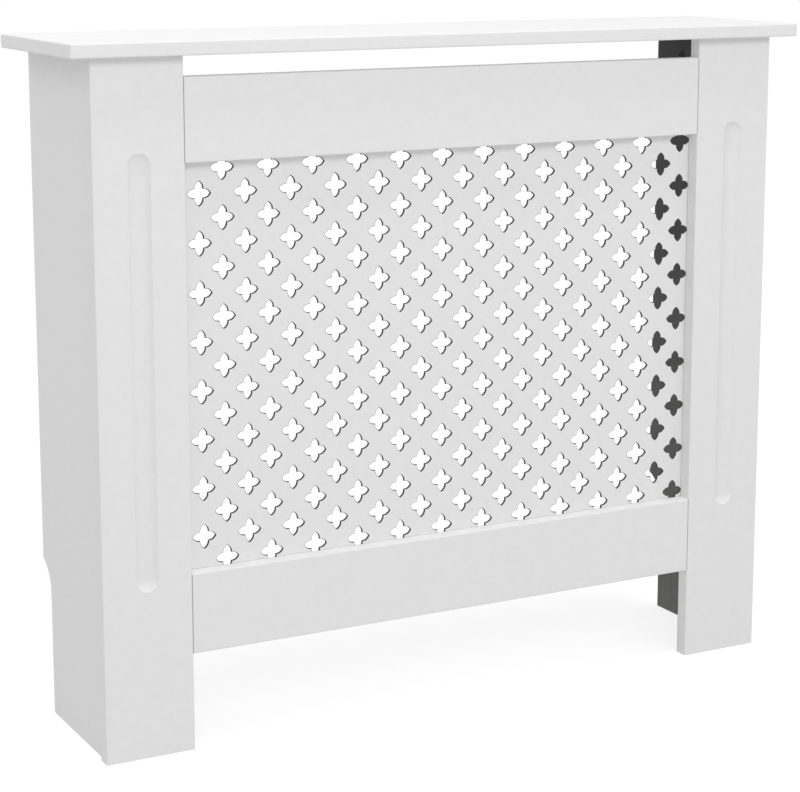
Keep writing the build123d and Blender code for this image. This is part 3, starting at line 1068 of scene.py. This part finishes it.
@dataclass(frozen=True)
class FlutedDowel:
    """A beech pin pressed with fine flutes, its ends chamfered."""

    radius: float = 4.0 * MM
    flutes: int = 18
    flute_depth: float = 0.22 * MM
    chamfer: float = 1.0 * MM
    flute_start: float = 1.6 * MM
    columns: int = 72
    slot: Slot = Slot.BEECH

    def surface(self, length: float) -> Surface:
        """The pin along Z about its middle: radius less a rounded groove for each flute.

        Args:
            length: End to end.

        Returns:
            The pin.
        """
        half = length / 2
        along = np.array([-half, -half, -half + self.chamfer, -half + self.flute_start])
        along = np.concatenate([along, -along[::-1]])
        widths = np.array([0.0, self.radius - self.chamfer, self.radius, self.radius])
        widths = np.concatenate([widths, widths[::-1]])[:, None]
        angle = np.arange(self.columns) / self.columns * FULL_TURN
        groove = self.flute_depth * (0.5 - 0.5 * np.cos(self.flutes * angle)) ** 2
        depth = np.array([0.0, 0.0, 0.0, 1.0, 1.0, 0.0, 0.0, 0.0])[:, None] * groove
        return Surface.from_grid(lathe(along, widths - depth, self.columns), wrap=True)

    def laid(self, head: float, tip: float, way: float) -> tuple[float, Surface]:
        """Where on its axis its middle lies between its two ends, and the dowel."""
        return (head + tip) / 2, self.surface(abs(head - tip))


Fastener = PanHeadScrew | CamBolt | FlutedDowel


@dataclass
class Fixings:
    """Everything that holds the boards together and the cabinet to the wall, apart from the cam locks."""

    screw: PanHeadScrew = PanHeadScrew()
    bolt: CamBolt = CamBolt()
    dowel: FlutedDowel = FlutedDowel()
    brackets: tuple[str, str] = ("left_wall_bracket", "right_wall_bracket")
    sheet_colour: Colour = (0.66, 0.67, 0.68)
    smooth_angle: float = 32.0

    def fasten(self, node: str, kind: Fastener, axis: Axis, material: Material, toward: int = 1) -> None:
        """Makes all the fasteners of a node.

        Args:
            node: The node.
            kind: What they are.
            axis: What they lie along.
            material: Their finish.
            toward: 1 or -1 for the way the heads point, or 0 for inwards.
        """
        made = []
        for low, high in solids_of(node):
            place, ends = (low + high) / 2, (low[axis.value], high[axis.value])
            way = toward or -np.sign(place[0])
            tip, head = ends if way > 0 else ends[::-1]
            place[axis.value], fastener = kind.laid(head, tip, way)
            made.append(fastener.placed(place, np.eye(3)[axis.value] * way))
        piece = Surface.joined(made).to_object(f"{node}_made", self.smooth_angle)
        show(piece, material, kind.slot)
        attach(piece, CABINET)
        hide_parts(node)

    def build(self) -> None:
        """Makes the screws, the bolts and the dowels, and dresses the brackets as galvanised sheet.

        The bolts of the shelf hang down, and those of the posts point to the wall.
        """
        steel = PlatedSteel("screw_plating").material()
        self.fasten("lattice_screws", self.screw, Axis.Y, steel)
        self.fasten("bracket_screws", self.screw, Axis.X, steel, toward=0)
        steel = PlatedSteel("bolt_plating").material()
        self.fasten("board_cam_bolts", self.bolt, Axis.Z, steel, toward=-1)
        self.fasten("post_cam_bolts", self.bolt, Axis.Y, steel)
        for node, axis in (("post_dowels", Axis.Y), ("rail_dowels", Axis.X), ("board_dowels", Axis.Z)):
            self.fasten(node, self.dowel, axis, Beech(f"beech_{axis.name.lower()}", axis).material())
        sheet = PlatedSteel("galvanised_sheet", spangle=True, pale=self.sheet_colour).material()
        for node in self.brackets:
            show(frame["nodes"][node], sheet, Slot.BRACKET)


@dataclass
class CamLocks:
    """The eight cam locks: blackened castings, each with a raised rim and an arrow to its bolt."""

    rim_radius: float = 6.2 * MM
    rim_width: float = 0.35 * MM
    rim_height: float = 0.22 * MM
    arrow_start: float = 4.1 * MM
    arrow_end: float = 5.6 * MM
    arrow_half: float = 1.0 * MM
    smooth_angle: float = 40.0
    columns: int = 64

    def rim(self) -> Surface:
        """A low bead round the face: a half-ellipse profile carried round a circle.

        Returns:
            The bead.
        """
        turn = np.linspace(0.0, math.pi, 7)
        radius = self.rim_radius + self.rim_width * np.cos(turn)
        profile = np.stack([radius, self.rim_height * np.sin(turn)], axis=1)
        profile = np.concatenate([profile, profile[:1]])
        return Surface.from_grid(lathe(profile[:, 1], profile[:, 0], self.columns), wrap=True)

    def arrow(self) -> Surface:
        """A raised triangle that points along the surface's own X: rings that shrink as they rise.

        Returns:
            The arrow.
        """
        back, half = self.arrow_start, self.arrow_half
        flat = np.array([(self.arrow_end, 0.0), (back, half), (back, -half)])
        middle = flat.mean(axis=0)
        levels = ((0.0, 0.0), (0.0, 1.0), (0.8, 0.92), (1.0, 0.75), (1.0, 0.0))
        rings = [
            np.insert(middle + (flat - middle) * size, 2, height * self.rim_height, axis=1)
            for height, size in levels
        ]
        return Surface.from_grid(np.stack(rings), wrap=True)

    def build(self) -> None:
        """Dresses each cam and lays its marks on its open face."""
        for joint in frame["joints"]:
            node = joint["child"]
            low, high = (np.array(corner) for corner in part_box(node))
            inward = -float(np.sign(low[0]))
            face = np.array([high[0] if inward > 0 else low[0], *((low + high) / 2)[1:]])
            finish = BlackCasting(f"black_{node}", tuple(face)).material()
            show(frame["nodes"][node], finish, Slot.CAM)
            to_bolt = np.eye(3)[2] if "board" in node else -np.eye(3)[1]
            normal = np.eye(3)[0] * inward
            basis = np.stack([to_bolt, np.cross(normal, to_bolt), normal])
            marks = Surface.joined([self.rim(), self.arrow()])
            marks.points = marks.points @ basis + face
            piece = marks.to_object(f"{node}_marks", self.smooth_angle)
            show(piece, finish, Slot.CAM)
            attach(piece, node)


# ---- room ----


@dataclass(frozen=True)
class Softbox:
    """A rectangular lamp: power in watts, width and height, place, and the point it faces."""

    name: str
    power: float
    size: tuple[float, float]
    place: Place
    target: Place

    def build(self) -> None:
        """Hangs the lamp, out of the camera's sight."""
        data = bpy.data.lights.new(self.name, "AREA")
        data.shape = "RECTANGLE"
        data.energy = self.power
        data.size, data.size_y = self.size
        lamp = bpy.data.objects.new(self.name, data)
        lamp.location = self.place
        facing = Vector(self.target) - Vector(self.place)
        lamp.rotation_euler = facing.to_track_quat("-Z", "Y").to_euler()
        lamp.visible_camera = False
        bpy.context.scene.collection.objects.link(lamp)


@dataclass
class Studio:
    """The pale floor, the light and the camera."""

    eye: Place = (-1.2529, -2.3112, 0.9482)
    pitch: float = -0.1787
    yaw: float = -0.4888
    focal_pixels: float = 2172.0
    image_width: float = 800.0
    image_height: float = 792.0
    horizon_row: float = 308.0
    sensor: float = 36.0
    floor_half: float = 60.0
    floor_drop: float = 0.5 * MM
    floor_colour: Colour = (0.35, 0.35, 0.35)
    floor_roughness: float = 0.9
    floor_glow: float = 0.366
    floor_glow_seen: float = 0.78
    sky: float = 0.639
    softboxes: tuple[Softbox, ...] = (
        Softbox("front_softbox", 25.0, (3.0, 0.8), (-0.3, -2.6, 1.9), (-0.3, 0.0, 0.34)),
        Softbox("high_softbox", 33.3, (3.0, 1.0), (0.0, -0.5, 3.6), (0.0, -0.185, 0.0)),
        Softbox("side_softbox", 2.6, (0.8, 0.8), (-1.4, 0.35, 1.7), (-0.48, 0.1, 0.7)),
    )

    def camera(self) -> None:
        """A level-standing camera with a little lens shift, as the photograph frames the cabinet."""
        data = bpy.data.cameras.new("camera")
        data.sensor_width = self.sensor
        data.lens = self.focal_pixels / self.image_width * self.sensor
        data.shift_y = (self.horizon_row - self.image_height / 2) / self.image_width
        data.dof.use_dof = False
        camera = bpy.data.objects.new("camera", data)
        camera.location = self.eye
        camera.rotation_euler = (math.pi / 2 + self.pitch, 0.0, self.yaw)
        bpy.context.scene.collection.objects.link(camera)
        bpy.context.scene.camera = camera

    def world(self) -> None:
        """An even sky: white where it is seen, dimmer as a light."""
        world = bpy.data.worlds.new("sky")
        world.use_nodes = True
        nodes = Nodes(world.node_tree)
        light = nodes.tree.nodes["Background"].inputs
        nodes.feed(light["Color"], (1.0, 1.0, 1.0))
        nodes.feed(light["Strength"], nodes.where_seen(self.sky, 1.0))
        bpy.context.scene.world = world

    def floor(self) -> None:
        """A plain floor that keeps the cabinet's shadow, lifted to the sky's white where it is seen."""
        side = np.linspace(-self.floor_half, self.floor_half, 9)
        across, away = np.meshgrid(side, side)
        grid = np.stack([across, away, np.full_like(across, -self.floor_drop)], axis=-1)
        piece = Surface.from_grid(grid).to_object("floor")
        shader = Shader("floor_white", specular=0.0)
        shader.feed(shader.surface["Emission Color"], (1.0, 1.0, 1.0))
        glow = shader.where_seen(self.floor_glow, self.floor_glow_seen)
        shader.feed(shader.surface["Emission Strength"], glow)
        piece.data.materials.append(shader.dress(self.floor_colour, self.floor_roughness))

    def build(self) -> None:
        """Sets up the room and plain colour management."""
        bpy.context.scene.view_settings.view_transform = "Standard"
        self.camera()
        self.world()
        self.floor()
        for softbox in self.softboxes:
            softbox.build()


def write_sizes() -> None:
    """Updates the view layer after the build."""
    bpy.context.view_layer.update()


def main() -> None:
    """Builds the room and then each sub-assembly."""
    logging.basicConfig(level=logging.INFO, format="%(name)s: %(message)s")
    for part in (Studio(), Carcass(), LatticeSheet(), Fixings(), CamLocks()):
        LOG.info("building %s", type(part).__name__)
        part.build()
    write_sizes()


if __name__ == "__main__":
    main()
